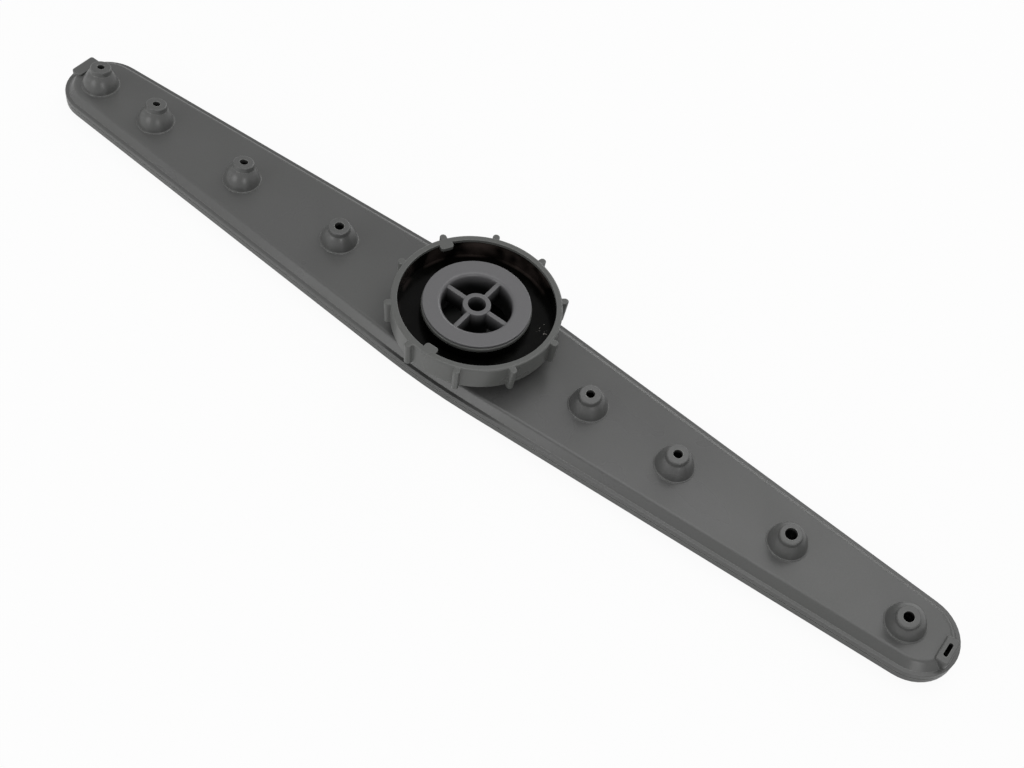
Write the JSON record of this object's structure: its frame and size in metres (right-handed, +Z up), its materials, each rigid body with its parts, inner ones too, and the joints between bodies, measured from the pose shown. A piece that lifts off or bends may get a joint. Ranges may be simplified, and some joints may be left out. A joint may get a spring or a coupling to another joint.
{
  "type": "dishwasher spray arm",
  "caption": "Rotating dishwasher spray arm: a hollow tapered arm with leaning jet nozzles, turning on a flanged hub bush with a captive bayonet ring nut.",
  "frame": {"origin": "on the spin axis of the arm, in the plane of its flat underside", "axes": "+X along the arm, +Z up along the spin axis towards the ring nut, +Y across the arm"},
  "size_m": [0.4978, 0.0804, 0.0333],
  "materials": {
    "arm_plastic": "satin grey moulded polypropylene",
    "ring_plastic": "satin grey moulded polypropylene",
    "bush_plastic": "smooth grey moulded acetal",
    "seal_rubber": "glossy black moulded EPDM rubber"
  },
  "bodies": {
    "arm": {"upper_shell": "arm_plastic", "lower_shell": "arm_plastic"},
    "ring": {"ring_nut": "ring_plastic", "well_seal": "seal_rubber"},
    "hub": {"hub_bush": "bush_plastic", "retaining_ring": "bush_plastic"}
  },
  "joints": [
    {"name": "hub_spin", "type": "hinge", "parent": "arm", "child": "hub", "pos_m": [0, 0, 0.03], "axis": [0, 0, 1], "continuous": true},
    {"name": "ring_turn", "type": "hinge", "parent": "arm", "child": "ring", "pos_m": [0, 0, 0.025], "axis": [0, 0, 1], "continuous": true}
  ]
}
